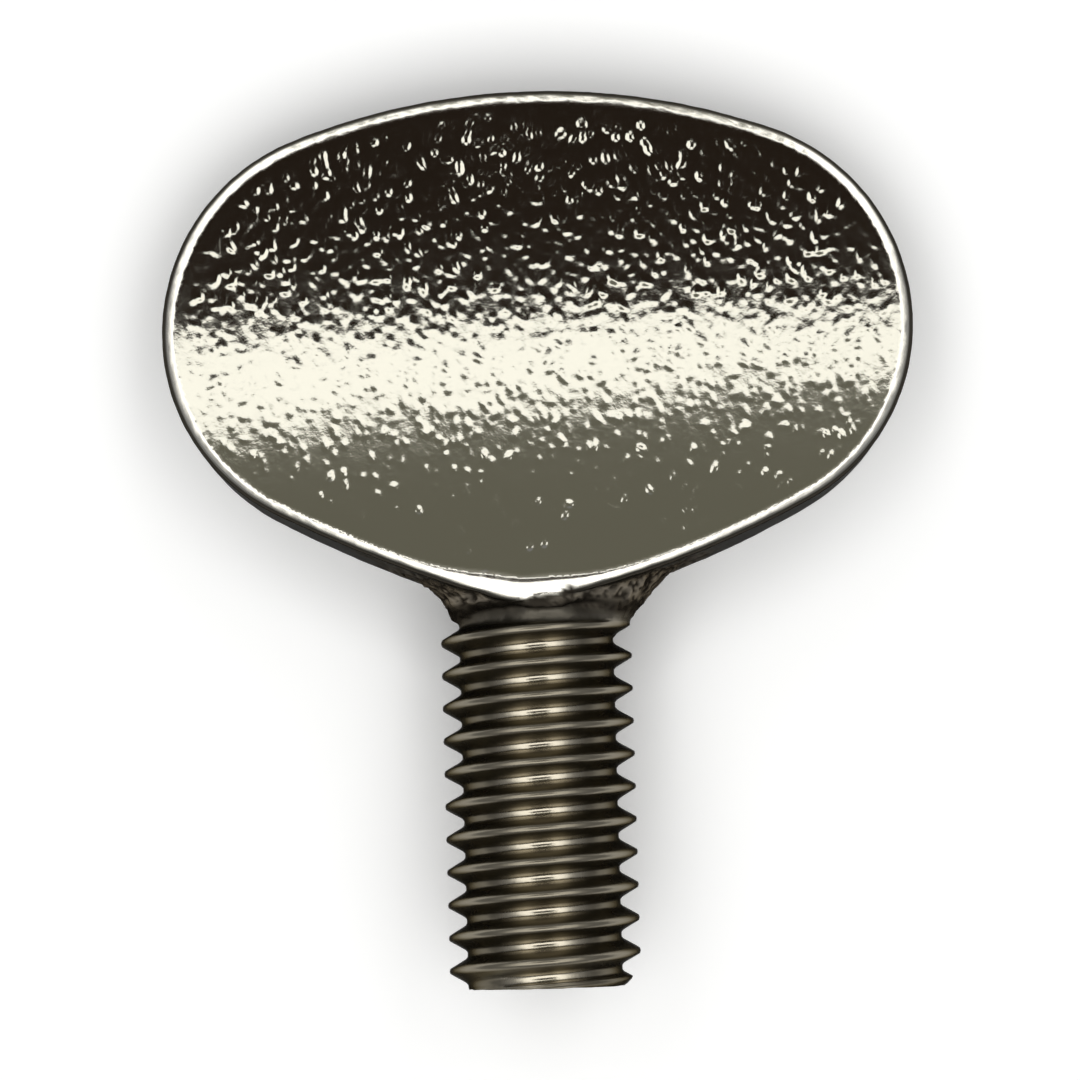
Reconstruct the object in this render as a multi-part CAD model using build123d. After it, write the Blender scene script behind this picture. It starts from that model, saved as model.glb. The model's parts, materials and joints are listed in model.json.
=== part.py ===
"""Endpin screw: a one-piece thumb screw with a scooped oval head and a right-hand metric thread.

The screw is modelled upright on its own axis, thread end down and the front of its head towards -Y. It is
then laid on its back, front up, as it comes to rest on a bench: it touches at the top of its rim and at the
tip of its lip, so the thread end stands a little off the bench.
"""
import math
import os

from build123d import *

# Oval head, with its foot at height zero
head_width = 23.0
head_height = 14.5
oval_end_share = 0.872       # radius of the oval's end arcs, of half its height
end_sweep_deg = 62.0         # of the end arcs, below level, down to where the lower sides begin
foot_thickness = 5.4         # of the head at its foot
waist_thickness = 2.1        # of the head at its thinnest, between the two scoops
waist_height = 10.0          # of that thinnest place above the foot
head_offset = 0.3            # of the head and neck, to the side of the thread's axis

# Pointed lip over the neck, in which the lower sides of the oval meet
lip_drop = 1.39              # of its point below the foot, before the point is rounded
lip_offset = -0.74           # of its point, to the side of the head's middle
lip_round = 2.0

# Rim, rounded in three narrow facets: the middle one first, then one on each side of it
rim_round = 0.35
middle_facet_share = 0.634
side_facet_share = 0.26

# Neck, which flares from the thread into the head
neck_diameter = 5.7
neck_length = 1.5            # below the foot, down to where it sinks into the thread
sink_slope_deg = 45.0        # of the cone on which it sinks in, off the screw's axis
flare_width = 9.3            # of the neck at its top, inside the head
flare_thickness_share = 0.9  # of the neck at its top, of the foot's thickness
flare_top = 0.3              # above the foot
flare_power = 1.3            # with which the neck grows on its way up
flare_stations = 3           # at which its section is drawn, above the first one

# Threaded shank
thread_diameter = 5.85
thread_pitch = 1.0
thread_length = 12.9         # from the foot of the head to the thread end
thread_depth_share = 0.57    # of the pitch
crest_share = 0.125          # flat left on top of the thread, of the pitch
flank_angle_deg = 60.0       # between the two flanks
end_chamfer = 0.5
top_fade = 0.6               # bevel on which the thread fades out inside the neck
top_gap = 0.8                # between the top of the thread and the foot of the head
spare_turns = 2              # made below the thread end and trimmed off

# Room by which one solid passes another that it cuts or joins
overrun = 1.0

# Search for the lean of the screw at rest
steepest_tilt_deg = 45.0
tilt_precision_deg = 0.002

crest_radius = thread_diameter / 2
thread_depth = thread_depth_share * thread_pitch
root_radius = crest_radius - thread_depth
neck_radius = neck_diameter / 2
half_waist = waist_thickness / 2
half_height = head_height / 2


def head_face():
    """Outline of the head, seen from the front: an oval whose lower sides meet in the lip's point."""
    end_radius = oval_end_share * half_height
    end_centre = head_width / 2 - end_radius
    top_sagitta = half_height - end_radius
    top_radius = (end_centre**2 + top_sagitta**2) / (2 * top_sagitta) + end_radius
    top_centre = half_height - (top_radius - half_height)
    meet = math.degrees(math.atan2(half_height - top_centre, end_centre))
    sweep = meet + end_sweep_deg
    right_end = CenterArc((end_centre, half_height), end_radius, -end_sweep_deg, sweep)
    top = CenterArc((0, top_centre), top_radius, meet, 180 - 2 * meet)
    left_end = CenterArc((-end_centre, half_height), end_radius, 180 - meet, sweep)
    point = (lip_offset, -lip_drop)
    left_side = TangentArc(left_end @ 1, point, tangent=left_end % 1)
    right_side = TangentArc(right_end @ 0, point, tangent=-(right_end % 0))
    face = make_face([right_end, top, left_end, left_side, right_side])
    face = fillet(face.vertices().sort_by(Axis.Y)[0], lip_round)
    return Plane.XZ * face


def paddle():
    """Flat of the head, scooped out front and back and rounded all along its rim."""
    blank = extrude(head_face(), amount=foot_thickness, both=True)
    hollow = (foot_thickness - waist_thickness) / 2
    scoop_radius = (waist_height**2 + hollow**2) / (2 * hollow)
    scoop = Rot(0, 90, 0) * Cylinder(scoop_radius, head_width + 2 * overrun)
    reach = scoop_radius + half_waist
    scoops = [Pos(0, side * reach, waist_height) * scoop for side in (-1, 1)]
    scooped = blank - scoops
    rim = new_edges(blank, *scoops, combined=scooped)
    bevelled = chamfer(rim, middle_facet_share * rim_round)
    facet_edges = new_edges(scooped, combined=bevelled)
    along_rim = facet_edges.filter_by(lambda edge: edge.length > rim_round)
    return chamfer(along_rim, side_facet_share * rim_round)


def neck():
    """Neck that rises out of the thread and flares sideways into the head."""
    sections = []
    for station in range(flare_stations + 1):
        rise = station / flare_stations
        growth = rise**flare_power
        half_width = neck_radius + growth * (flare_width / 2 - neck_radius)
        half_thickness = neck_radius + growth * (flare_thickness_share * foot_thickness / 2 - neck_radius)
        height = rise * (flare_top + neck_length) - neck_length
        sections.append(Pos(0, 0, height) * Ellipse(half_width, half_thickness))
    core_radius = root_radius / 2
    cone_height = (neck_radius - core_radius) / math.tan(math.radians(sink_slope_deg))
    cone = Cone(core_radius, neck_radius, cone_height, align=(Align.CENTER, Align.CENTER, Align.MAX))
    return loft(sections) + Pos(0, 0, -neck_length) * cone


def thread():
    """Threaded shank, stitched turn by turn from helical strips and trimmed to its chamfered end."""
    crest = crest_share * thread_pitch
    flank = thread_depth * math.tan(math.radians(flank_angle_deg / 2))
    profile = [
        (crest_radius, 0),
        (crest_radius, crest),
        (root_radius, crest + flank),
        (root_radius, thread_pitch - flank),
        (crest_radius, thread_pitch),
    ]
    turns = math.ceil(thread_length / thread_pitch) + spare_turns
    low = -thread_length - spare_turns * thread_pitch
    high = low + turns * thread_pitch

    def helix(radius, height):
        return Edge.make_helix(thread_pitch, thread_pitch, radius, center=(0, 0, height))

    strips = []
    for turn in range(turns):
        base = low + turn * thread_pitch
        for (radius_0, rise_0), (radius_1, rise_1) in zip(profile, profile[1:]):
            lower = helix(radius_0, base + rise_0)
            upper = helix(radius_1, base + rise_1)
            strips.append(Face.make_surface_from_curves(lower, upper))
    for end in (low, high):
        axis = Edge.make_line((0, 0, end), (0, 0, end + thread_pitch))
        step = [(radius, 0, end + rise) for radius, rise in profile]
        strips.append(Face.make_surface_from_curves(helix(crest_radius, end), axis))
        strips.append(Face(Wire.make_polygon([(0, 0, end), *step, (0, 0, end + thread_pitch)])))
    rod = Solid(Shell(strips))

    length = thread_length - top_gap
    turned = Cylinder(crest_radius + overrun, length, align=(Align.CENTER, Align.CENTER, Align.MAX))
    turned = chamfer(turned.edges().group_by(Axis.Z)[0], end_chamfer + overrun)
    turned = chamfer(turned.edges().group_by(Axis.Z)[-1], top_fade + overrun)
    return rod & Pos(0, 0, -top_gap) * turned


def resting_tilt(flat):
    """Angle by which the screw leans back when its top rim and the tip of its lip both touch the bench."""
    side = section(flat, section_by=Plane.YZ.offset(lip_offset))
    room = Box(head_width, 2 * foot_thickness, head_height, align=(Align.CENTER, Align.CENTER, Align.MIN))
    rim_end = side & Pos(0, 0, half_height) * room
    lip_end = side & Pos(0, 0, half_height - head_height) * room

    def lowest(end, tilt):
        return (Rot(-90 - tilt, 0, 0) * end).bounding_box().min.Z

    level, steep = 0.0, steepest_tilt_deg
    while steep - level > tilt_precision_deg:
        middle = (level + steep) / 2
        if lowest(rim_end, middle) > lowest(lip_end, middle):
            level = middle
        else:
            steep = middle
    return steep


def endpin_screw():
    """The whole screw at rest, with its origin under the middle of its box."""
    flat = paddle()
    head = Pos(head_offset, 0, 0) * (flat + neck())
    screw = Rot(-90 - resting_tilt(flat), 0, 0) * (head + thread())
    box = screw.bounding_box()
    return Pos(-box.center().X, -box.center().Y, -box.min.Z) * screw


if __name__ == "__main__":
    os.makedirs("parts", exist_ok=True)
    export_step(endpin_screw(), "parts/endpin_screw.step")
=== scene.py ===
"""Endpin screw, lying on its back on a pale floor, seen from nearly straight above.

One plated casting: a head scooped on both faces with an orange-peel skin, a smooth rim that ends in a
pointed lip, a rough neck under it and a right-hand thread. The shapes are worked out in the screw's own
space, in millimetres: X across the head, Y along the axis from the foot of the head towards its top, and Z
out of the front.
"""
import json
import math
from functools import partial
from types import SimpleNamespace

import bmesh
import bpy
import numpy as np
from mathutils import Euler, Matrix, Vector, geometry, kdtree, noise


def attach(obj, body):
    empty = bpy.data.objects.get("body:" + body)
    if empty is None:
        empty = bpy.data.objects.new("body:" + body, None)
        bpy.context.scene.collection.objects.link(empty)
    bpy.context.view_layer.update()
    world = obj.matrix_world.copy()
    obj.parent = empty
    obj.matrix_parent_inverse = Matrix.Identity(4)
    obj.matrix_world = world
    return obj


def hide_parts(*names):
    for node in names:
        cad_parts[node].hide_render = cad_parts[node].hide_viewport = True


MM = 0.001

# Head, in millimetres
head_width = 23.0
head_height = 14.5
head_middle = 0.3            # of the head, beside the thread's axis
oval_end_share = 0.872       # radius of the oval's end arcs, of half its height
end_sweep = math.radians(62)  # of the end arcs, below level
waist_height = 10.0
half_waist = 1.05
half_foot = 2.7
lip_drop = 1.39
lip_offset = -0.74
lip_round = 2.0

# Rim: a bevel that is steeper along the lower sides and wider at the lip, rounded over into the wall
rim_reach = 0.36
lower_less_reach = 0.07
lip_more_reach = 0.44
lip_half_width = 1.9
lip_along = (3.0, 1.0)       # places along the axis between which the lip sets in
bevel_slope = 0.17
lower_more_slope = 0.38
rim_round_drop = 0.16
upper_less_drop = 0.09

# How far the edge faces upwards, from -1 to 1, where the rim's reach, slope and rounding change
reach_upward = (-0.2, -0.8)
slope_upward = (-0.2, -0.95)
drop_upward = (-0.2, 0.6)

# Neck, in millimetres
neck_radius = 2.85
neck_length = 1.5
neck_sink = 0.9              # of its end, inside the thread
flare_half_width = 4.65
flare_half_thickness = 2.43
flare_top = 0.3
flare_power = 1.3

# Thread, in millimetres
thread_length = 12.9
thread_top = -0.8
crest_radius = 2.925
thread_depth = 0.57
thread_pitch = 1.0
crest_half = 0.0625
crest_rounding = 0.05
root_rounding = 0.14
flank_half_angle = math.radians(30)
end_chamfer = 0.5
top_fade = 0.6
spare_turns = 2.25           # below the thread end, down to where the crest line first passes the front
thread_turns = 16
turn_segments = 60
profile_steps = 14
weld_distance = 0.0005
smallest_edge = 1e-5
root_radius = crest_radius - thread_depth
thread_start = crest_half - thread_length - spare_turns * thread_pitch

# Cells of the skin, in millimetres
edge_spacing = 0.11
front_spacing = 0.075
back_spacing = 0.18
row_share = math.sqrt(0.75)  # distance of rows of even triangles, of their spacing
border_share = 0.6           # room left along the border, of the spacing
same_place = 1e-7
rim_steps = 8
wall_steps = 14
neck_points = 150
neck_steps = 20
sink_steps = 4

# Corner between neck and head that is smoothed: beside the middle, along the axis and below the scoop
corner_beside = (6.2, 4.8)
corner_along = (1.8, 1.0)
corner_depth = (0.45, 0.70)
corner_rounds = 24
corner_pull_share = 0.5

# Zones of the casting: places, in millimetres, between which each sets in
thread_along = (-1.60, -1.95)
neck_below = (0.0, 0.08)     # below the lower edge of the head
rough_beside = (6.0, 3.9)
rough_along = (1.0, 0.3)
rough_depth = (0.60, 0.95)
scoop_inset_share = (0.95, 1.10)  # of the rim's reach
scoop_depth = (0.12, 0.06)
wall_inset = (0.17, 0.09)
wall_depth = (0.60, 0.80)
run_on_across = (2.5, 1.7)
run_on_along = (-0.75, -1.1)
run_on_depth = (0.3, 0.6)

# Pits of the scoops, in millimetres
pit_spacing = 0.325
pit_seed = 7
pit_scatter_share = 0.7      # of the spacing
pit_radii = (0.10, 0.17)
lower_less_radius_share = 0.25
pit_stretch = (1.0, 2.0)
pit_upper_length = 1.8       # of a pit's upper half, in lengths of its lower half
pit_inset = (0.45, 0.85)     # from the edge, where the pits set in
pit_steepness = 1.54         # steepest slope of a pit that is as deep as its radius
pits_met = 4                 # nearest pits that shape one place

# Steepness of the pits, with the places along the axis where they change
upper_pits_along = (7.2, 8.4)
upper_slopes = (0.06, 0.31)
top_along = (9.0, 13.5)
upper_slope_share = 0.9      # of their slopes, where the upper pits set in
top_more_slope_share = 0.3   # added towards the top
middle_pits_along = (3.6, 4.8)
middle_slopes = (0.03, 0.13)
lower_slopes = (0.09, 0.36)
few_along = (0.8, 3.8)
fewest_share = 0.12          # of the pits that are kept at the foot
few_more_share = 0.43        # kept as well towards the middle

# Grain of the skin: height and size of its lumps in millimetres, and a shift that sets it apart
swell_grains = ((0.006, 3.0, 5.5), (0.003, 0.6, 12.7))
lump_grains = ((0.55, 0.50, 21.3), (0.55, 0.24, 37.9))
grit_grain = (1.0, 0.15, 63.1)
rim_grain = (0.013, 0.17, 71.0)
border_grain = (1.6, 0.9, 33.0)
chatter_grain = (0.012, 0.34, 51.0)
chatter_stretch = (1.0, 0.12, 1.0)
neck_lump_height = 0.11
neck_grit_height = 0.035
wall_lump_height = 0.015
valley_depth = 0.32
run_on_less_lumps_share = 0.6

# Dark patches under the lip: places across and half widths, with the limits they keep to, in millimetres
dark_spot_places = ((0.12, 0.46), (1.02, 0.26))
dark_spot_core_share = 0.5
dark_spot_inset = (0.26, 0.08)
dark_spot_front = 1.5
dark_spot_top = 0.3
dark_spot_lump_share = 0.25
dark_spot_grit_share = 0.15

# Darker thread flanks and crests, painted shade on the thread's sides and in the collar, grime in the neck's
# hollows
flank_rise = (0.04, 0.11)    # over the root
crest_drop = (0.10, 0.03)    # below the crest
dark_sides = (0.32, 0.66)    # sine of the angle from the front
collar_strength = 0.85
collar_top = (-1.15, -1.30)
collar_foot = (-1.98, -1.82)
grime_level = (0.16, -0.12)
grime_lump_share = 0.5
grime_grit_share = 0.7

# Finish of the plating, and of each mark laid over it in turn: colour, roughness and tint of its edges
plate_colour = (0.56, 0.548, 0.488)
plate_roughness = 0.10
mark_finishes = {
    # rim: paler, rougher plating, a painted highlight that evens the rim's reflections into a bright cream
    # line
    "rim": ((0.86, 0.84, 0.78), 0.20, 1.0),
    # wall: near-black with untinted edges, painted shade for the dark that the wall mirrors from its
    # surroundings
    "wall": ((0.065, 0.059, 0.049), 0.38, 0.0),
    "rough": ((0.205, 0.180, 0.144), 0.40, 0.1),
    # grime: grime in the neck's hollows, painted shade in the collar under the lip, and dark patches under
    # the lip
    "grime": ((0.035, 0.030, 0.024), 0.55, 0.0),
    "thread": ((0.56, 0.515, 0.425), 0.20, 0.0),
    # flank: darker flanks, and painted shade on the thread's sides away from the front
    "flank": ((0.165, 0.148, 0.114), 0.32, 0.0),
    "crest": ((0.26, 0.236, 0.187), 0.28, 0.0),
}
pore_scale = 6500.0
pore_detail = 2.0
pore_strength = 0.25
pore_depth = 0.000012        # in metres

# Camera, in millimetres
camera_target = (-0.1, 0.10, 4.0)
camera_distance = 137.1
camera_lean = math.radians(2.0)  # from straight up, towards the top of the head
camera_roll = math.radians(-1.6)
camera_lens = 150.0
sensor_width = 36.0
nearest_seen = 1.0
farthest_seen = 20000.0

# Floor, in metres, and the light that it gives off where it is seen
floor_half = 3.0
floor_colour = (0.94, 0.95, 0.975)
floor_lift = 0.28
shadow_reach = 0.003         # from the screw, within which the floor gives off less
shadow_power = 1.6
shadow_samples = 4

# Light from all round, and a ceiling that darkens towards its sides, in metres
studio_strength = 0.28
ceiling_height = 0.46
ceiling_half_width = 0.56
ceiling_along = (-0.48, 0.60)
ceiling_colour = (1.0, 0.99, 0.95)
ceiling_strength = 1.78
ceiling_fade = (0.18, 0.54)  # places across
ceiling_side_share = 0.2     # of its strength, left at its sides

# Cards that the plating mirrors, in metres, with the lean of their edges from straight up, in degrees
card_height = 0.40
card_bend = 0.045            # place across where a bent edge turns level
dark_reach = 0.11
dark_colour = (0.0190, 0.0118, 0.0072)
dark_foot_lean = -9.0
dark_top_leans = (24.8, 22.9, 23.3)  # at the left, in the middle and at the right
olive_reach = 0.13
olive_colour = (0.190, 0.184, 0.146)
olive_foot_leans = (34.7, 32.6, 30.3)
olive_top_lean = 55.0


def soft_step(low, high, value):
    """Goes smoothly from 0 at low to 1 at high."""
    share = np.clip((value - low) / (high - low), 0.0, 1.0)
    return share * share * (3.0 - 2.0 * share)


def grain(points, *grains):
    """Smooth random height: the sum of one or more grains, each with its height, lump size and shift."""
    return sum(
        height * np.fromiter((noise.noise(p) for p in points / size + shift), float, len(points))
        for height, size, shift in grains
    )


def scoop_surface(along):
    """Distance of the scooped face from the head's middle plane, at a place along the axis."""
    hollow = half_foot - half_waist
    radius = (waist_height**2 + hollow**2) / (2 * hollow)
    return half_waist + radius - np.sqrt(radius**2 - (along - waist_height) ** 2)


def mesh_points(mesh):
    points = np.empty(len(mesh.vertices) * 3)
    mesh.vertices.foreach_get("co", points)
    return points.reshape(-1, 3)


def set_points(mesh, points):
    mesh.vertices.foreach_set("co", points.ravel())
    mesh.update()


def skin_normals(mesh):
    normals = np.empty(len(mesh.vertices) * 3)
    mesh.vertex_normals.foreach_get("vector", normals)
    return normals.reshape(-1, 3)


def finished_mesh(piece):
    """Plain mesh of a piece with its modifiers worked in; the piece itself is removed."""
    seen = piece.evaluated_get(bpy.context.evaluated_depsgraph_get())
    mesh = bpy.data.meshes.new_from_object(seen)
    bpy.data.objects.remove(piece)
    return mesh


def new_piece(name, mesh):
    piece = bpy.data.objects.new(name, mesh)
    bpy.context.scene.collection.objects.link(piece)
    return piece


def screw_space(record):
    """Matrix from the screw's own space, in millimetres, to the shared frame, in metres."""
    tip = next(mount for mount in record["mounts"] if mount["name"] == "tip")
    away = Vector(tip["axis"]).normalized()
    across = Vector((1, 0, 0))
    along = -away
    out = across.cross(along)
    foot = Vector(tip["pos_m"]) - away * thread_length * MM
    turn = Matrix((across * MM, along * MM, out * MM)).transposed().to_4x4()
    return Matrix.Translation(foot) @ turn


def head_outline():
    """Points round the head, anticlockwise as seen from the front, and the way out at each of them."""
    half_height = head_height / 2
    end_radius = oval_end_share * half_height
    end_middle = head_width / 2 - end_radius
    sagitta = half_height - end_radius
    top_radius = (end_middle**2 + sagitta**2) / (2 * sagitta) + end_radius
    top_middle = head_height - top_radius
    meet = math.atan2(half_height - top_middle, end_middle)
    point = np.array((lip_offset, -lip_drop))

    def lower_side(side):
        """Middle and radius of the arc that leads from an end of the oval to the lip's point."""
        out = np.array((side * math.cos(end_sweep), -math.sin(end_sweep)))
        begin = np.array((side * end_middle, half_height)) + end_radius * out
        gap = point - begin
        radius = gap @ gap / (-2 * gap @ out)
        return begin - radius * out, radius

    left_middle, left_radius = lower_side(-1)
    right_middle, right_radius = lower_side(1)
    gap = right_middle - left_middle
    apart = np.hypot(*gap)
    left_reach, right_reach = left_radius - lip_round, right_radius - lip_round
    part = (left_reach**2 - right_reach**2 + apart**2) / (2 * apart)
    fall = math.sqrt(left_reach**2 - part**2)
    gap = gap / apart
    lip_middle = left_middle + part * gap + fall * np.array((-gap[1], gap[0]))
    turn_in = math.atan2(*(lip_middle - left_middle)[::-1]) % math.tau
    turn_out = math.atan2(*(lip_middle - right_middle)[::-1]) % math.tau
    arcs = (
        ((end_middle, half_height), end_radius, -end_sweep, meet),
        ((0, top_middle), top_radius, meet, math.pi - meet),
        ((-end_middle, half_height), end_radius, math.pi - meet, math.pi + end_sweep),
        (left_middle, left_radius, math.pi + end_sweep, turn_in),
        (lip_middle, lip_round, turn_in, turn_out),
        (right_middle, right_radius, turn_out, math.tau - end_sweep),
    )
    edge, outward = [], []
    for middle, radius, begin, finish in arcs:
        steps = max(2, round(radius * (finish - begin) / edge_spacing))
        angles = begin + (finish - begin) * np.arange(steps) / steps
        away = np.stack((np.cos(angles), np.sin(angles)), axis=1)
        edge.append(np.array(middle) + (head_middle, 0) + radius * away)
        outward.append(away)
    return np.concatenate(edge), np.concatenate(outward)


def widest_reach(across, along):
    """How far in the rim's bevel reaches at a place, more so the nearer it is to the lip."""
    off = (across - head_middle - lip_offset) / lip_half_width
    return rim_reach + lip_more_reach * np.exp(-off * off) * soft_step(*lip_along, along)


def rim_sizes(across, along, upward):
    """How far in the rim's bevel reaches on the edge, how steep it is there and how deep its rounding is."""
    reach = widest_reach(across, along) - lower_less_reach * soft_step(*reach_upward, upward)
    slope = bevel_slope + lower_more_slope * soft_step(*slope_upward, upward)
    return reach, slope, rim_round_drop - upper_less_drop * soft_step(*drop_upward, upward)


def place_tree(places):
    """Search tree over flat places."""
    tree = kdtree.KDTree(len(places))
    for number, place in enumerate(places):
        tree.insert((*place, 0), number)
    tree.balance()
    return tree


def nearest(points, ring):
    """Distance of each place from the nearest point of a ring."""
    tree = place_tree(ring)
    return np.fromiter((tree.find((x, y, 0))[2] for x, y in points), float, len(points))


def fill_ring(ring, spacing):
    """Even triangles inside a ring: the places added, and the triangles, in which the ring comes first."""
    low, high = ring[:, 1].argmin(), ring[:, 1].argmax()
    right = np.roll(ring, -low, axis=0)[: (high - low) % len(ring) + 1]
    left = np.roll(ring, -high, axis=0)[: (low - high) % len(ring) + 1][::-1]
    inside = []
    for row, level in enumerate(np.arange(ring[low, 1], ring[high, 1], spacing * row_share)):
        shift = spacing / 2 * (row % 2)
        begin, finish = (np.interp(level, side[:, 1], side[:, 0]) for side in (left, right))
        first = math.ceil((begin - shift) / spacing)
        places = np.arange(first, (finish - shift) / spacing) * spacing + shift
        inside.append(np.stack((places, np.full(len(places), level)), axis=1))
    inside = np.concatenate(inside)
    inside = inside[nearest(inside, ring) > border_share * spacing]
    count = len(ring)
    border = [(k, (k + 1) % count) for k in range(count)]
    places = [Vector(place) for place in np.concatenate((ring, inside))]
    inner_triangles = 1  # kind of result: triangles inside the border
    _, _, cells, given, _, _ = geometry.delaunay_2d_cdt(places, border, [], inner_triangles, same_place)
    return inside, [[given[k][0] for k in cell] for cell in cells]


def ring_cells(rings, count):
    """Cells between rings that follow one another, outwards and then down."""
    return [
        (r * count + k, (r + 1) * count + k, (r + 1) * count + (k + 1) % count, r * count + (k + 1) % count)
        for r in range(rings - 1)
        for k in range(count)
    ]


def head_skin():
    """Closed skin of the head: two scooped faces of even cells, a rounded rim on each and the wall."""
    edge, outward = head_outline()
    count = len(edge)
    reach, slope, round_drop = rim_sizes(*edge.T, outward[:, 1])
    front = []
    for step in range(rim_steps + 1):
        turn = math.pi / 2 * step / rim_steps
        place = edge - outward * (reach * (1 - math.sin(turn)))[:, None]
        drop = slope * reach * math.sin(turn) + round_drop * (1 - math.cos(turn))
        front.append(np.column_stack((place, scoop_surface(place[:, 1]) - drop)))
    top = front[-1]
    wall = [top * (1, 1, 1 - 2 * step / wall_steps) for step in range(1, wall_steps)]
    rings = front + wall + [ring * (1, 1, -1) for ring in front[::-1]]
    cells = ring_cells(len(rings), count)
    points = np.concatenate(rings)
    last = (len(rings) - 1) * count
    for spacing, base, side in ((front_spacing, 0, 1), (back_spacing, last, -1)):
        inside, triangles = fill_ring(front[0][:, :2], spacing)
        shift = len(points) - count
        numbers = [[k + base if k < count else k + shift for k in cell] for cell in triangles]
        cells += [cell[::side] for cell in numbers]
        points = np.concatenate((points, np.column_stack((inside, side * scoop_surface(inside[:, 1])))))
    mesh = bpy.data.meshes.new("head_skin")
    mesh.from_pydata(points, [], cells)
    return mesh


def neck_skin():
    """Closed skin of the neck, from inside the thread to inside the head."""
    turn = np.arange(neck_points) / neck_points * math.tau
    rings = []
    for step in range(-sink_steps, neck_steps + 1):
        rise = max(step, 0) / neck_steps
        growth = rise**flare_power
        half_width = neck_radius + growth * (flare_half_width - neck_radius)
        half_thickness = neck_radius + growth * (flare_half_thickness - neck_radius)
        sink = neck_sink * max(-step, 0) / sink_steps
        height = rise * (flare_top + neck_length) - neck_length - sink
        rings.append(
            np.column_stack((
                head_middle + (half_width - sink) * np.cos(turn),
                np.full(neck_points, height),
                (half_thickness - sink) * np.sin(turn),
            ))
        )
    cells = ring_cells(len(rings), neck_points)
    last = (len(rings) - 1) * neck_points
    cells += [tuple(range(neck_points)), tuple(range(last, last + neck_points))[::-1]]
    mesh = bpy.data.meshes.new("neck_skin")
    mesh.from_pydata(np.concatenate(rings), [], cells)
    return mesh


def math_node(tree, operation, *values):
    """Result of one Math node; a value is a number or a socket."""
    node = tree.nodes.new("ShaderNodeMath")
    node.operation = operation
    for socket, value in zip(node.inputs, values):
        if isinstance(value, (int, float)):
            socket.default_value = value
        else:
            tree.links.new(value, socket)
    return node.outputs[0]


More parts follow.
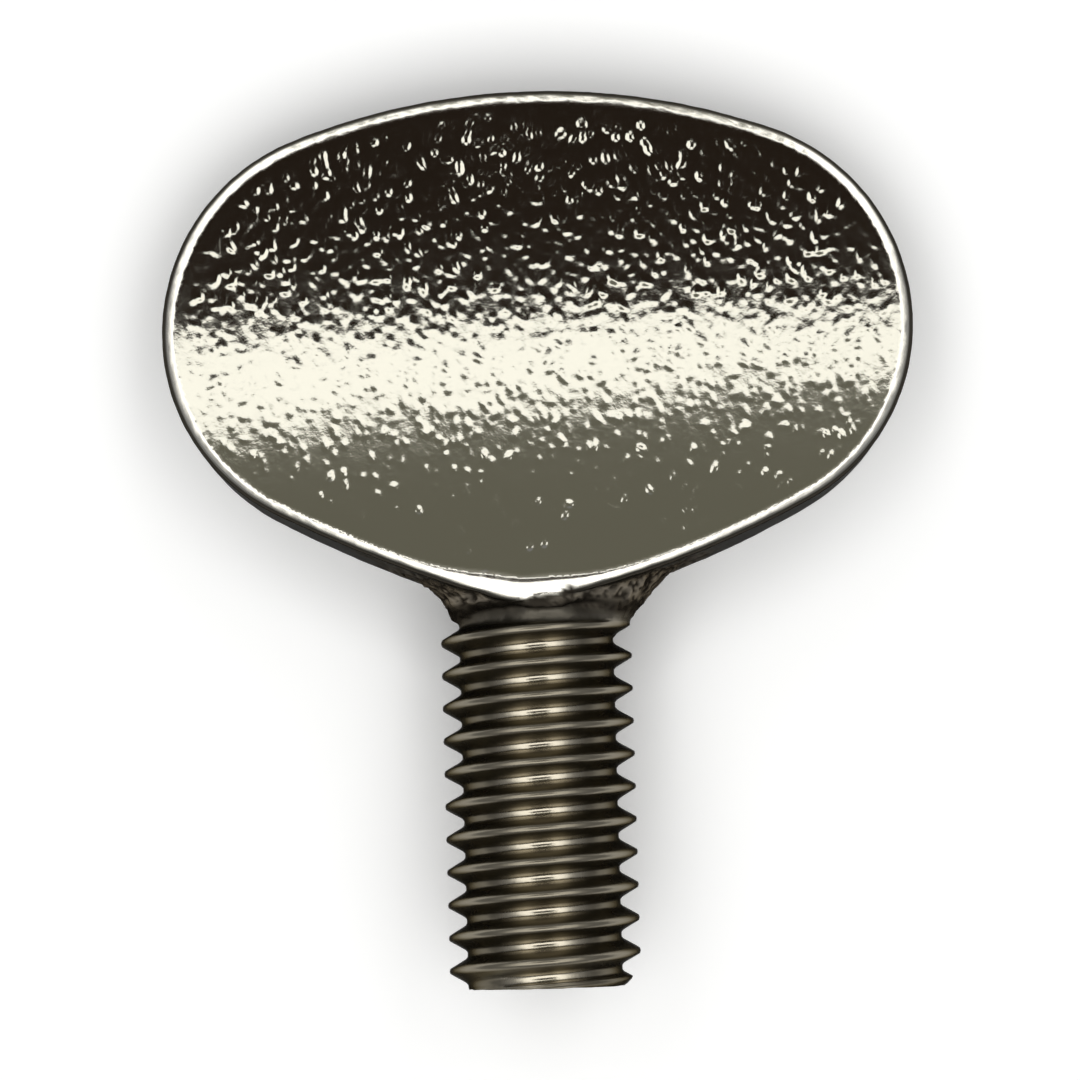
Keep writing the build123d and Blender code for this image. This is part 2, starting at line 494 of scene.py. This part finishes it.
def thread_tree(material):
    """Node tree of the thread: a sheet one pitch wide, wound into a helix and welded along its edge."""
    tree = bpy.data.node_groups.new("thread", "GeometryNodeTree")
    tree.interface.new_socket("Geometry", in_out="OUTPUT", socket_type="NodeSocketGeometry")
    sizes = {
        "Crest radius": crest_radius,
        "Root radius": root_radius,
        "Crest half width": crest_half,
        "Flank slope": 1 / math.tan(flank_half_angle),
        "Pitch": thread_pitch,
        "Start": thread_start,
        "End": -thread_length,
        "Top": thread_top,
        "End chamfer": end_chamfer,
        "Top fade": top_fade,
        "Crest rounding": crest_rounding,
        "Root rounding": root_rounding,
    }
    counts = {"Turns": thread_turns, "Segments": turn_segments, "Profile steps": profile_steps}
    for name in sizes:
        tree.interface.new_socket(name, in_out="INPUT", socket_type="NodeSocketFloat")
    for name in counts:
        tree.interface.new_socket(name, in_out="INPUT", socket_type="NodeSocketInt")
    given = tree.nodes.new("NodeGroupInput").outputs
    pitch, turns, crest = given["Pitch"], given["Turns"], given["Crest radius"]
    reckon = partial(math_node, tree)
    link = tree.links.new

    # Sheet that counts turns one way and rises through one pitch the other way
    sheet = tree.nodes.new("GeometryNodeMeshGrid")
    sheet.inputs["Size X"].default_value = 1.0
    sheet.inputs["Size Y"].default_value = 1.0
    rings = reckon("MULTIPLY", turns, given["Segments"])
    link(reckon("ADD", rings, 1.0), sheet.inputs["Vertices X"])
    link(reckon("ADD", given["Profile steps"], 1.0), sheet.inputs["Vertices Y"])
    place = tree.nodes.new("ShaderNodeSeparateXYZ")
    link(tree.nodes.new("GeometryNodeInputPosition").outputs[0], place.inputs[0])
    wound = reckon("MULTIPLY", reckon("ADD", place.outputs["X"], 0.5), turns)
    rise = reckon("ADD", place.outputs["Y"], 0.5)
    angle = reckon("MULTIPLY", wound, math.tau)
    climb = reckon("MULTIPLY", reckon("ADD", wound, rise), pitch)
    height = reckon("ADD", given["Start"], climb)

    # Profile, from the crest down the flank to the root and up again
    off_crest = reckon("MULTIPLY", reckon("PINGPONG", rise, 0.5), pitch)
    off_flat = reckon("SUBTRACT", off_crest, given["Crest half width"])
    flank = reckon("SUBTRACT", crest, reckon("MULTIPLY", off_flat, given["Flank slope"]))
    radius = reckon("SMOOTH_MIN", flank, crest, given["Crest rounding"])
    radius = reckon("SMOOTH_MAX", radius, given["Root radius"], given["Root rounding"])

    # Bevelled ends, each closed by the turn beyond it
    above_end = reckon("SUBTRACT", height, given["End"])
    below_top = reckon("SUBTRACT", given["Top"], height)
    for room, bevel in ((above_end, given["End chamfer"]), (below_top, given["Top fade"])):
        bevel_radius = reckon("ADD", reckon("SUBTRACT", crest, bevel), room)
        radius = reckon("MINIMUM", radius, bevel_radius)
    for room in (above_end, below_top):
        closing = reckon("ADD", reckon("DIVIDE", room, pitch), 1.0)
        closing = reckon("MAXIMUM", reckon("MINIMUM", closing, 1.0), 0.0)
        radius = reckon("MULTIPLY", radius, closing)
    height = reckon("MINIMUM", reckon("MAXIMUM", height, given["End"]), given["Top"])

    point = tree.nodes.new("ShaderNodeCombineXYZ")
    link(reckon("MULTIPLY", radius, reckon("SINE", angle)), point.inputs["X"])
    link(height, point.inputs["Y"])
    link(reckon("MULTIPLY", radius, reckon("COSINE", angle)), point.inputs["Z"])
    wind = tree.nodes.new("GeometryNodeSetPosition")
    link(sheet.outputs["Mesh"], wind.inputs["Geometry"])
    link(point.outputs[0], wind.inputs["Position"])
    weld = tree.nodes.new("GeometryNodeMergeByDistance")
    weld.inputs["Distance"].default_value = weld_distance
    real = tree.nodes.new("GeometryNodeRealizeInstances")
    finish = tree.nodes.new("GeometryNodeSetMaterial")
    finish.inputs["Material"].default_value = material
    link(wind.outputs["Geometry"], weld.inputs["Geometry"])
    link(weld.outputs["Geometry"], real.inputs["Geometry"])
    link(real.outputs["Geometry"], finish.inputs["Geometry"])
    link(finish.outputs["Geometry"], tree.nodes.new("NodeGroupOutput").inputs[0])
    return tree, {**sizes, **counts}


def cut_thread(material):
    """Mesh of the whole thread, closed at both ends."""
    tree, values = thread_tree(material)
    piece = new_piece("thread_blank", bpy.data.meshes.new("thread_blank"))
    cut = piece.modifiers.new("thread", "NODES")
    cut.node_group = tree
    for item in tree.interface.items_tree:
        if item.in_out == "INPUT":
            cut[item.identifier] = values[item.name]
    mesh = finished_mesh(piece)
    shell = bmesh.new()
    shell.from_mesh(mesh)
    bmesh.ops.dissolve_degenerate(shell, dist=smallest_edge, edges=shell.edges)
    bmesh.ops.recalc_face_normals(shell, faces=shell.faces)
    shell.to_mesh(mesh)
    shell.free()
    return mesh


def joined(first, *others):
    """Several closed skins as one."""
    whole = new_piece("first_skin", first)
    added = [new_piece("added_skin", mesh) for mesh in others]
    for piece in added:
        join = whole.modifiers.new("join", "BOOLEAN")
        join.operation = "UNION"
        join.solver = "MANIFOLD"
        join.object = piece
    mesh = finished_mesh(whole)
    for piece in added:
        bpy.data.objects.remove(piece)
    return mesh


def softened(mesh, points, weight):
    """Points drawn towards the middle of their neighbours, as far as their weight allows."""
    ends = np.empty(len(mesh.edges) * 2, dtype=np.int32)
    mesh.edges.foreach_get("vertices", ends)
    one, other = ends.reshape(-1, 2).T
    count = len(points)
    neighbours = np.bincount(one, minlength=count) + np.bincount(other, minlength=count)
    for _ in range(corner_rounds):
        middle = np.empty_like(points)
        for axis in range(3):
            total = np.bincount(one, points[other, axis], count)
            total += np.bincount(other, points[one, axis], count)
            middle[:, axis] = total / neighbours
        points = points + weight[:, None] * corner_pull_share * (middle - points)
    return points


def pit_depths(across, along):
    """Depth of the pits scattered over the scoops: steep high up, shallow in the middle, few at the foot."""
    chance = np.random.default_rng(pit_seed)
    columns = np.arange(-head_width / 2, head_width / 2 + 1, pit_spacing)
    rows = np.arange(-lip_drop, head_height, pit_spacing)
    places = np.stack(np.meshgrid(columns, rows), axis=-1).reshape(-1, 2)
    places += chance.uniform(-pit_scatter_share, pit_scatter_share, places.shape) * pit_spacing
    count = len(places)
    level = places[:, 1]
    upper = soft_step(*upper_pits_along, level)
    middle = soft_step(*middle_pits_along, level) * (1 - upper)
    steeper = upper_slope_share + top_more_slope_share * soft_step(*top_along, level)
    slope = upper * chance.uniform(*upper_slopes, count) * steeper
    slope += middle * chance.uniform(*middle_slopes, count)
    few = fewest_share + few_more_share * soft_step(*few_along, level)
    lower = (1 - upper - middle) * (chance.random(count) < few)
    slope += lower * chance.uniform(*lower_slopes, count)
    radius = chance.uniform(*pit_radii, count) * (1 - lower_less_radius_share * lower)
    stretch = chance.uniform(*pit_stretch, count)
    turn = chance.uniform(0, math.pi, count)

    tree = place_tree(places)
    met = [[found[1] for found in tree.find_n((x, y, 0), pits_met)] for x, y in zip(across, along)]
    depth = np.zeros(len(across))
    for pit in np.array(met).T:
        east, north = across - places[pit, 0], along - places[pit, 1]
        north = np.where(north > 0, north / pit_upper_length, north)
        long_way = (np.cos(turn[pit]) * east + np.sin(turn[pit]) * north) / stretch[pit]
        short_way = np.cos(turn[pit]) * north - np.sin(turn[pit]) * east
        inside = np.clip(1 - (long_way**2 + short_way**2) / radius[pit] ** 2, 0, 1)
        depth = np.maximum(depth, slope[pit] * radius[pit] / pit_steepness * inside**2)
    return depth


def eased_corner(mesh, points, thread):
    """Points of the casting with the corner between its neck and head smoothed."""
    across, along, out = points.T
    weight = soft_step(*corner_beside, np.abs(across - head_middle)) * soft_step(*corner_along, along)
    weight *= soft_step(*corner_depth, scoop_surface(along) - np.abs(out)) * (1 - thread)
    return softened(mesh, points, weight)


def casting_zones(points, thread):
    """Where thread, rough neck, scoops, wall and rim lie, from 0 to 1, with the inset and depth."""
    across, along, out = points.T
    depth = scoop_surface(along) - np.abs(out)
    edge, outward = head_outline()
    inset = nearest(points[:, :2], edge)
    lower = edge[outward[:, 1] < 0]
    lower = lower[np.argsort(lower[:, 0])]
    below = np.interp(across, *lower.T) - along
    neck = soft_step(*neck_below, below) * (1 - thread)
    ragged = np.abs(across - head_middle) + grain(points, border_grain)
    near_neck = soft_step(*rough_beside, ragged) * soft_step(*rough_along, along)
    rough = np.maximum(neck, near_neck * soft_step(*rough_depth, depth) * (1 - thread))
    past_rim = soft_step(*scoop_inset_share, inset / widest_reach(across, along))
    scoop = past_rim * soft_step(*scoop_depth, np.abs(depth)) * (1 - neck)
    wall = np.maximum(soft_step(*wall_inset, inset), soft_step(*wall_depth, depth)) * (1 - thread)
    rim = (1 - scoop) * (1 - wall) * (1 - thread) * (1 - rough)
    return SimpleNamespace(
        thread=thread, rough=rough, scoop=scoop, wall=wall, rim=rim, inset=inset, depth=depth
    )


def skin_height(points, zone, lumps, grit):
    """How far the skin stands out of the plain casting, with its pits, lumps and tool marks."""
    across, along, out = points.T
    pits = pit_depths(across, along) * soft_step(*pit_inset, zone.inset)
    turned = (along - thread_start) / thread_pitch - np.arctan2(across, out) / math.tau
    valley = (1 - np.cos(math.tau * turned)) / 2
    under_lip = soft_step(*run_on_across, np.abs(across)) * soft_step(*run_on_along, along)
    run_on = (1 - zone.thread) * under_lip * soft_step(*run_on_depth, zone.depth)

    height = zone.scoop * (grain(points, *swell_grains) - pits)
    height += zone.rim * grain(points, rim_grain)
    neck_lumps = (1 - run_on_less_lumps_share * run_on) * neck_lump_height * lumps
    height += zone.rough * (neck_lumps + neck_grit_height * grit)
    height += zone.wall * wall_lump_height * lumps
    height -= run_on * valley_depth * valley
    return height + zone.thread * grain(points * chatter_stretch, chatter_grain)


def colour_marks(points, zone, lumps, grit):
    """Marks that the finish follows, from 0 to 1, in the order in which they are laid over the plating."""
    across, along, out = points.T
    from_axis = np.hypot(across, out)
    flank = soft_step(*flank_rise, from_axis - root_radius)
    crest = soft_step(*crest_drop, crest_radius - from_axis)
    # Painted shade: the thread darkens towards its sides, away from the front.
    sides = soft_step(*dark_sides, np.abs(np.sin(np.arctan2(across, out))))
    # Painted shade: a dark band in the collar, between the lip and the thread's first turn.
    collar = collar_strength * soft_step(*collar_top, along) * soft_step(*collar_foot, along)
    on_thread = zone.thread * (1 - collar)

    spots = [
        soft_step(half_width, dark_spot_core_share * half_width, np.abs(across - middle))
        for middle, half_width in dark_spot_places
    ]
    near_edge = soft_step(*dark_spot_inset, zone.inset - dark_spot_lump_share * lumps - dark_spot_grit_share * grit)
    dark_spots = np.maximum.reduce(spots) * near_edge * (out > dark_spot_front) * (along < dark_spot_top)
    grime = zone.rough * soft_step(*grime_level, grime_lump_share * lumps + grime_grit_share * grit)
    return {
        # painted highlight on the rim
        "rim": zone.rim,
        # painted shade on the wall
        "wall": zone.wall,
        "rough": zone.rough,
        # grime of the neck, painted shade in the collar, and dark patches under the lip
        "grime": np.maximum.reduce((grime, collar, dark_spots * (1 - zone.thread))),
        "thread": on_thread,
        # darker flanks, and painted shade on the thread's sides
        "flank": on_thread * np.maximum(flank, sides),
        "crest": on_thread * crest,
    }


def weather(mesh):
    """Gives the casting its skin: pitted scoops, rough neck and wall, dark patches under the lip, worn
    thread.
    """
    points = mesh_points(mesh)
    thread = soft_step(*thread_along, points[:, 1])
    points = eased_corner(mesh, points, thread)
    set_points(mesh, points)
    zone = casting_zones(points, thread)
    lumps = grain(points, *lump_grains)
    grit = grain(points, grit_grain)
    height = skin_height(points, zone, lumps, grit)
    set_points(mesh, points + skin_normals(mesh) * height[:, None])
    for name, values in colour_marks(points, zone, lumps, grit).items():
        mark = mesh.attributes.new(name, "FLOAT", "POINT")
        mark.data.foreach_set("value", values.astype(np.float32))


def mark_mix(tree, name, under, over):
    """Lays one colour over another where a mark says so; a colour is three numbers or a socket."""
    mark = tree.nodes.new("ShaderNodeAttribute")
    mark.attribute_name = name
    mix = tree.nodes.new("ShaderNodeMix")
    mix.data_type = "RGBA"
    tree.links.new(mark.outputs["Fac"], mix.inputs["Factor"])
    sockets = [socket for socket in mix.inputs if socket.type == "RGBA"]
    for socket, colour in zip(sockets, (under, over)):
        if isinstance(colour, tuple):
            socket.default_value = (*colour, 1)
        else:
            tree.links.new(colour, socket)
    return next(socket for socket in mix.outputs if socket.type == "RGBA")


def nickel_plate():
    """Bright warm nickel on the head, browner and duller on the thread and on the rough neck."""
    material = bpy.data.materials.new("nickel_plate")
    material.use_nodes = True
    tree = material.node_tree
    metal = tree.nodes["Principled BSDF"]
    metal.inputs["Metallic"].default_value = 1.0
    colour, roughness, edges = plate_colour, (plate_roughness,) * 3, (1.0,) * 3
    for mark, (mark_colour, mark_roughness, mark_edges) in mark_finishes.items():
        colour = mark_mix(tree, mark, colour, mark_colour)
        roughness = mark_mix(tree, mark, roughness, (mark_roughness,) * 3)
        edges = mark_mix(tree, mark, edges, (mark_edges,) * 3)
    tree.links.new(colour, metal.inputs["Base Color"])
    tree.links.new(roughness, metal.inputs["Roughness"])
    tree.links.new(edges, metal.inputs["Specular Tint"])

    place = tree.nodes.new("ShaderNodeTexCoord")
    pores = tree.nodes.new("ShaderNodeTexNoise")
    pores.inputs["Scale"].default_value = pore_scale
    pores.inputs["Detail"].default_value = pore_detail
    tree.links.new(place.outputs["Object"], pores.inputs["Vector"])
    bump = tree.nodes.new("ShaderNodeBump")
    bump.inputs["Strength"].default_value = pore_strength
    bump.inputs["Distance"].default_value = pore_depth
    tree.links.new(pores.outputs["Fac"], bump.inputs["Height"])
    tree.links.new(bump.outputs["Normal"], metal.inputs["Normal"])
    return material


def glow(name, colour, strength, fade=None):
    """Light of one colour, for a card: even, or darker towards its sides between two places across."""
    material = bpy.data.materials.new(name)
    material.use_nodes = True
    tree = material.node_tree
    tree.nodes.clear()
    light = tree.nodes.new("ShaderNodeEmission")
    light.inputs["Color"].default_value = (*colour, 1)
    light.inputs["Strength"].default_value = strength
    if fade:
        place = tree.nodes.new("ShaderNodeSeparateXYZ")
        tree.links.new(tree.nodes.new("ShaderNodeTexCoord").outputs["Object"], place.inputs[0])
        fall = tree.nodes.new("ShaderNodeMapRange")
        fall.interpolation_type = "SMOOTHSTEP"
        limits = (*fade, strength, ceiling_side_share * strength)
        for limit, value in zip(("From Min", "From Max", "To Min", "To Max"), limits):
            fall.inputs[limit].default_value = value
        tree.links.new(math_node(tree, "ABSOLUTE", place.outputs["X"]), fall.inputs["Value"])
        tree.links.new(fall.outputs["Result"], light.inputs["Strength"])
    end = tree.nodes.new("ShaderNodeOutputMaterial")
    tree.links.new(light.outputs[0], end.inputs["Surface"])
    return material


def pale_floor():
    """Matt floor that gives off a little light where it is seen, less of it close to the screw."""
    material = bpy.data.materials.new("pale_floor")
    material.use_nodes = True
    tree = material.node_tree
    tree.nodes.clear()
    reckon = partial(math_node, tree)
    matt = tree.nodes.new("ShaderNodeBsdfDiffuse")
    matt.inputs["Color"].default_value = (*floor_colour, 1)
    lift = tree.nodes.new("ShaderNodeEmission")
    path = tree.nodes.new("ShaderNodeLightPath")
    seen = reckon("ADD", path.outputs["Is Camera Ray"], path.outputs["Is Glossy Ray"])
    seen = reckon("ADD", seen, path.outputs["Is Transmission Ray"])
    seen = reckon("MINIMUM", seen, 1.0)
    close = tree.nodes.new("ShaderNodeAmbientOcclusion")
    close.samples = shadow_samples
    close.inputs["Distance"].default_value = shadow_reach
    seen = reckon("MULTIPLY", seen, reckon("POWER", close.outputs["AO"], shadow_power))
    tree.links.new(reckon("MULTIPLY", seen, floor_lift), lift.inputs["Strength"])
    both = tree.nodes.new("ShaderNodeAddShader")
    tree.links.new(matt.outputs[0], both.inputs[0])
    tree.links.new(lift.outputs[0], both.inputs[1])
    tree.links.new(both.outputs[0], tree.nodes.new("ShaderNodeOutputMaterial").inputs["Surface"])
    return material


def card(name, corners, material):
    """Flat sheet of the stage; it isn't part of the screw."""
    mesh = bpy.data.meshes.new(name)
    mesh.from_pydata(corners, [], [tuple(range(len(corners)))])
    mesh.materials.append(material)
    new_piece(name, mesh)


def square(half, low, high, level):
    """Corners of a level rectangle."""
    return [(-half, low, level), (half, low, level), (half, high, level), (-half, high, level)]


def lean(across, degrees):
    """Corner of a card: a place across the head, and a lean from straight up towards the top of the head."""
    return (across, card_height * math.tan(math.radians(degrees)), card_height)


def bent_edge(reach, leans):
    """Edge of a card from left to right, by its lean at the left, in the middle and at the right."""
    left, middle, right = leans
    ends = [lean(-reach, left), lean(-card_bend, left), lean(0, middle)]
    return ends + [lean(card_bend, right), lean(reach, right)]


def set_stage():
    """Pale floor, a pale ceiling, and under it a dark card round the camera and an olive one further off."""
    card("floor", square(floor_half, -floor_half, floor_half, 0.0), pale_floor())
    ceiling = square(ceiling_half_width, *ceiling_along, ceiling_height)
    card("ceiling", ceiling, glow("ceiling", ceiling_colour, ceiling_strength, ceiling_fade))
    dark = [lean(side * dark_reach, dark_foot_lean) for side in (-1, 1)]
    dark += bent_edge(dark_reach, dark_top_leans)[::-1]
    card("dark_card", dark, glow("dark_card", dark_colour, 1.0))
    olive = bent_edge(olive_reach, olive_foot_leans)
    olive += [lean(side * olive_reach, olive_top_lean) for side in (1, -1)]
    card("olive_card", olive, glow("olive_card", olive_colour, 1.0))


def light_bench():
    """Even white light from all round."""
    world = bpy.data.worlds.new("studio")
    bpy.context.scene.world = world
    world.use_nodes = True
    light = world.node_tree.nodes["Background"]
    light.inputs["Color"].default_value = (1, 1, 1, 1)
    light.inputs["Strength"].default_value = studio_strength


def set_camera():
    """Camera over the screw, a little off straight up and rolled a little."""
    camera = bpy.data.objects.new("camera", bpy.data.cameras.new("camera"))
    bpy.context.scene.collection.objects.link(camera)
    turn = Euler((-camera_lean, 0, camera_roll))
    back = turn.to_matrix() @ Vector((0, 0, 1))
    camera.location = (Vector(camera_target) + camera_distance * back) * MM
    camera.rotation_euler = turn
    camera.data.lens = camera_lens
    camera.data.sensor_width = sensor_width
    camera.data.clip_start = nearest_seen * MM
    camera.data.clip_end = farthest_seen * MM
    bpy.context.scene.camera = camera


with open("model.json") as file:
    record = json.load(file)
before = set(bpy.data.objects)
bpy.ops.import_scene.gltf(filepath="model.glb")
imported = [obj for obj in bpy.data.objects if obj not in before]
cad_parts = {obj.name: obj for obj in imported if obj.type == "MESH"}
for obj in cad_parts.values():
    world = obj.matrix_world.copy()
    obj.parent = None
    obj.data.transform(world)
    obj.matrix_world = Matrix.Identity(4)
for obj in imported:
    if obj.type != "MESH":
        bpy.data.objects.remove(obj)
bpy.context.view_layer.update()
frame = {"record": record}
to_world = screw_space(frame["record"])
plate = nickel_plate()
screw_mesh = joined(head_skin(), neck_skin(), cut_thread(plate))
weather(screw_mesh)
screw_mesh.transform(to_world)
screw_mesh.shade_smooth()
screw_mesh.materials.clear()
screw_mesh.materials.append(plate)
screw = new_piece("plated_screw", screw_mesh)
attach(screw, "root")
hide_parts("endpin_screw")

set_stage()
light_bench()
set_camera()
bpy.context.scene.view_settings.view_transform = "Standard"

print("triangles", sum(len(face.vertices) - 2 for face in screw_mesh.polygons))
